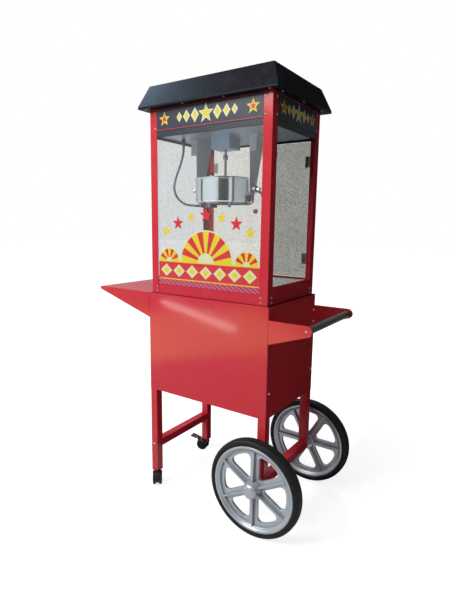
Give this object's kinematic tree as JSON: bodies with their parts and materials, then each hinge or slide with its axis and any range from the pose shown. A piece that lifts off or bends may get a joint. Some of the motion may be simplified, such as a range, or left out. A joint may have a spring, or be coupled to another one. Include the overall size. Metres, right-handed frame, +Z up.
{
  "type": "popcorn cart",
  "caption": "Popcorn machine on a wheeled cart: glass cabinet with tilting kettle, hip roof, storage body, side shelf, push handle, spoked wheels and casters.",
  "frame": {"origin": "on the ground, under the centre of the overall box", "axes": "+X from the side shelf to the handle bar, +Y from the front to the rear doors, +Z up"},
  "size_m": [0.9498, 0.5142, 1.521],
  "materials": {
    "red_paint": "glossy powder coat",
    "black_paint": "satin powder coat",
    "steel": "brushed",
    "zinc": "zinc plated",
    "grip": "satin dark green",
    "wheel_plastic": "silver grey moulding",
    "tyre": "solid rubber",
    "black_plastic": "moulded",
    "nylon": "moulded",
    "glass": "clear",
    "acrylic": "clear sheet",
    "bulb": "frosted"
  },
  "bodies": {
    "cart": {"cart_shell": "red_paint", "cart_deck": "red_paint", "storage_floor": "red_paint", "left_legs": "red_paint", "leg_crossbar": "red_paint", "axle_frame": "red_paint", "side_shelf": "red_paint", "handle_brackets": "red_paint", "handle_bar": "grip", "cart_bolts": "zinc", "axle": "zinc", "axle_collars": "zinc", "caster_sockets": "black_plastic", "cabinet_base": "red_paint", "warming_floor": "steel", "corner_posts": "red_paint", "glass_front": "glass", "side_glasses": "glass", "top_housing": "black_paint", "sign_panels": "black_paint", "control_panel": "black_paint", "power_inlet": "black_plastic", "roof": "black_paint", "cabinet_screws": "zinc", "hinge_leaves": "zinc", "drive_motor": "steel", "kettle_hangers": "steel", "lamp": "bulb", "kettle_lead": "zinc"},
    "wheel_front": {"wheel_front": "wheel_plastic", "tyre_front": "tyre", "bushes_front": "nylon", "hub_cap_front": "wheel_plastic"},
    "wheel_rear": {"wheel_rear": "wheel_plastic", "tyre_rear": "tyre", "bushes_rear": "nylon", "hub_cap_rear": "wheel_plastic"},
    "caster_front": {"caster_fork_front": "black_plastic"},
    "caster_front_wheels": {"caster_wheels_front": "black_plastic"},
    "caster_front_brake": {"caster_brake_front": "black_plastic"},
    "caster_rear": {"caster_fork_rear": "black_plastic"},
    "caster_rear_wheels": {"caster_wheels_rear": "black_plastic"},
    "caster_rear_brake": {"caster_brake_rear": "black_plastic"},
    "storage_door": {"storage_door": "red_paint", "storage_door_fittings": "zinc"},
    "rear_door_left": {"rear_door_left": "acrylic", "left_door_fittings": "zinc"},
    "rear_door_right": {"rear_door_right": "acrylic", "right_door_fittings": "zinc"},
    "crumb_drawer": {"crumb_drawer": "steel"},
    "drive_shaft": {"drive_shaft": "steel"},
    "kettle": {"kettle": "steel", "kettle_heater": "steel", "kettle_lever": "black_plastic"},
    "stirrer": {"stirrer": "steel"},
    "lid_front": {"lid_front": "steel"},
    "lid_rear": {"lid_rear": "steel"},
    "rocker_heat": {"rocker_heat": "black_plastic"},
    "rocker_stir": {"rocker_stir": "black_plastic"},
    "rocker_lamp": {"rocker_lamp": "black_plastic"}
  },
  "joints": [
    {"name": "wheel_front_spin", "type": "hinge", "parent": "cart", "child": "wheel_front", "pos_m": [0.3063, -0.2161, 0.171], "axis": [0, 1, 0], "continuous": true},
    {"name": "wheel_rear_spin", "type": "hinge", "parent": "cart", "child": "wheel_rear", "pos_m": [0.3063, 0.2161, 0.171], "axis": [0, 1, 0], "continuous": true},
    {"name": "caster_front_swivel", "type": "hinge", "parent": "cart", "child": "caster_front", "pos_m": [-0.1813, -0.1668, 0.057], "axis": [0, 0, 1], "continuous": true},
    {"name": "caster_front_roll", "type": "hinge", "parent": "caster_front", "child": "caster_front_wheels", "pos_m": [-0.16973, -0.18059, 0.025], "axis": [0.766, 0.6428, 0], "continuous": true},
    {"name": "caster_front_brake", "type": "hinge", "parent": "caster_front", "child": "caster_front_brake", "pos_m": [-0.15687, -0.19591, 0.049], "axis": [0.766, 0.6428, 0], "range_deg": [0, 12]},
    {"name": "caster_rear_swivel", "type": "hinge", "parent": "cart", "child": "caster_rear", "pos_m": [-0.1813, 0.1668, 0.057], "axis": [0, 0, 1], "continuous": true},
    {"name": "caster_rear_roll", "type": "hinge", "parent": "caster_rear", "child": "caster_rear_wheels", "pos_m": [-0.19903, 0.16367, 0.025], "axis": [0.1736, -0.9848, 0], "continuous": true},
    {"name": "caster_rear_brake", "type": "hinge", "parent": "caster_rear", "child": "caster_rear_brake", "pos_m": [-0.21872, 0.1602, 0.049], "axis": [0.1736, -0.9848, 0], "range_deg": [0, 12]},
    {"name": "storage_door_swing", "type": "hinge", "parent": "cart", "child": "storage_door", "pos_m": [-0.16555, 0.186, 0.58], "axis": [0, 0, 1], "range_deg": [0, 115]},
    {"name": "rear_door_left_swing", "type": "hinge", "parent": "cart", "child": "rear_door_left", "pos_m": [-0.1545, 0.178, 1.096], "axis": [0, 0, 1], "range_deg": [0, 105]},
    {"name": "rear_door_right_swing", "type": "hinge", "parent": "cart", "child": "rear_door_right", "pos_m": [0.2795, 0.178, 1.096], "axis": [0, 0, -1], "range_deg": [0, 105]},
    {"name": "crumb_drawer_slide", "type": "slide", "parent": "cart", "child": "crumb_drawer", "axis": [0, 1, 0], "range_m": [0, 0.2]},
    {"name": "drive_spin", "type": "hinge", "parent": "cart", "child": "drive_shaft", "pos_m": [0.0225, 0, 1.28], "axis": [0, 0, 1], "continuous": true},
    {"name": "kettle_tilt", "type": "hinge", "parent": "cart", "child": "kettle", "pos_m": [0.0225, 0, 1.16898], "axis": [1, 0, 0], "range_deg": [0, 85], "deforming": ["kettle_lead"]},
    {"name": "stirrer_spin", "type": "hinge", "parent": "kettle", "child": "stirrer", "pos_m": [0.0225, 0, 1.18], "axis": [0, 0, 1], "continuous": true},
    {"name": "lid_front_flip", "type": "hinge", "parent": "kettle", "child": "lid_front", "pos_m": [0.0225, -0.013, 1.2115], "axis": [-1, 0, 0], "range_deg": [0, 70]},
    {"name": "lid_rear_flip", "type": "hinge", "parent": "kettle", "child": "lid_rear", "pos_m": [0.0225, 0.013, 1.2115], "axis": [1, 0, 0], "range_deg": [0, 70]},
    {"name": "rocker_heat_press", "type": "hinge", "parent": "cart", "child": "rocker_heat", "pos_m": [0.1325, 0.1735, 1.394], "axis": [-1, 0, 0], "range_deg": [0, 16]},
    {"name": "rocker_stir_press", "type": "hinge", "parent": "cart", "child": "rocker_stir", "pos_m": [0.1725, 0.1735, 1.394], "axis": [-1, 0, 0], "range_deg": [0, 16]},
    {"name": "rocker_lamp_press", "type": "hinge", "parent": "cart", "child": "rocker_lamp", "pos_m": [0.2125, 0.1735, 1.394], "axis": [-1, 0, 0], "range_deg": [0, 16]}
  ],
  "couplings": [
    {"joint": "stirrer_spin", "follows": "drive_spin", "ratio": 1}
  ]
}
